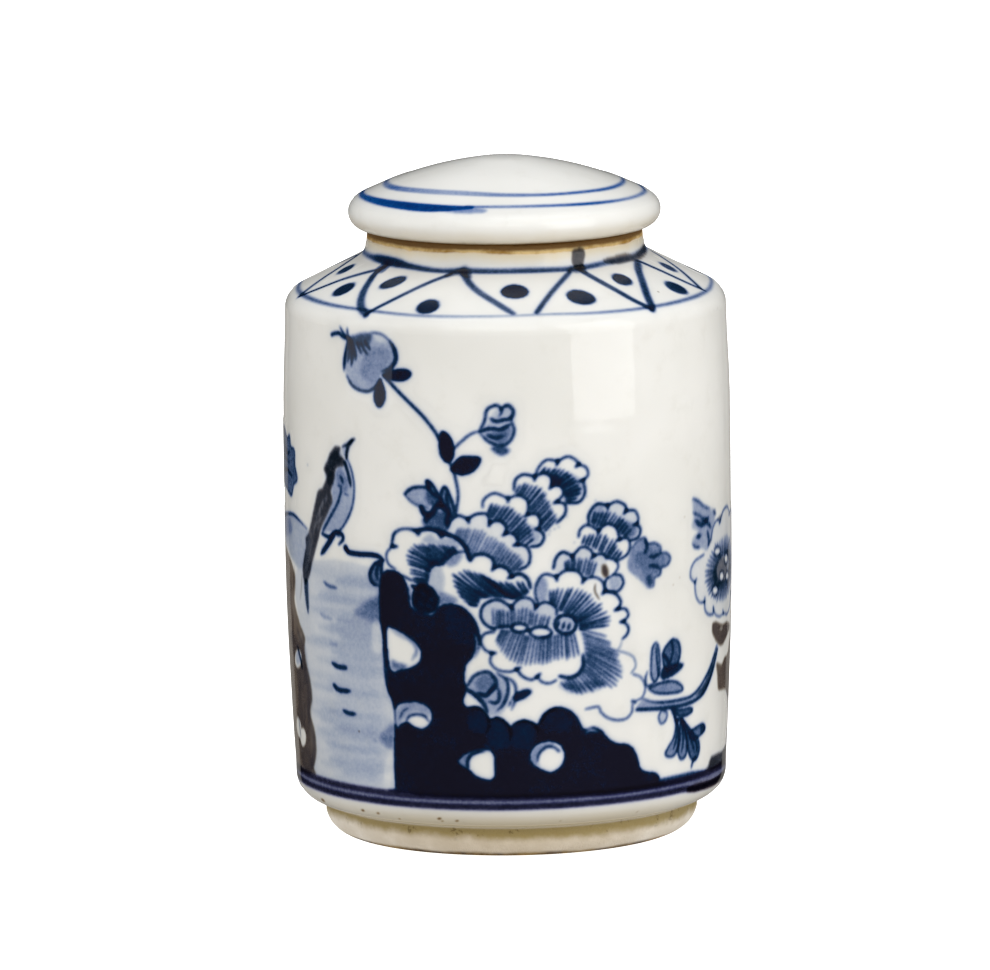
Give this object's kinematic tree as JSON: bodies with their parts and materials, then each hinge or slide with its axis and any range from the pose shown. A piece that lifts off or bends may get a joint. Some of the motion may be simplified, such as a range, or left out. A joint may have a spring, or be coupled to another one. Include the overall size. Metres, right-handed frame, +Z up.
{
  "type": "lidded jar",
  "caption": "Round glazed porcelain storage jar with a short neck, a recessed foot and a low domed lift-off lid, painted in blue.",
  "frame": {"origin": "centre of the foot ring's resting face, on the jar's axis", "axes": "+Z up along the axis that both pieces were thrown on; the painted front faces -Y"},
  "size_m": [0.1048, 0.1048, 0.1589],
  "materials": {
    "jar_porcelain": "clear glossy glaze over off-white porcelain with hand-painted cobalt blue, bare biscuit at the lip and foot ring",
    "lid_porcelain": "clear glossy glaze over off-white porcelain with two painted cobalt blue rings, bare biscuit on the seat and ring"
  },
  "bodies": {
    "jar": {"jar": "jar_porcelain"},
    "lid": {"lid": "lid_porcelain"}
  },
  "joints": [
    {"name": "lid_lift", "type": "slide", "parent": "jar", "child": "lid", "axis": [0, 0, 1], "range_m": [0, 0.06]}
  ]
}
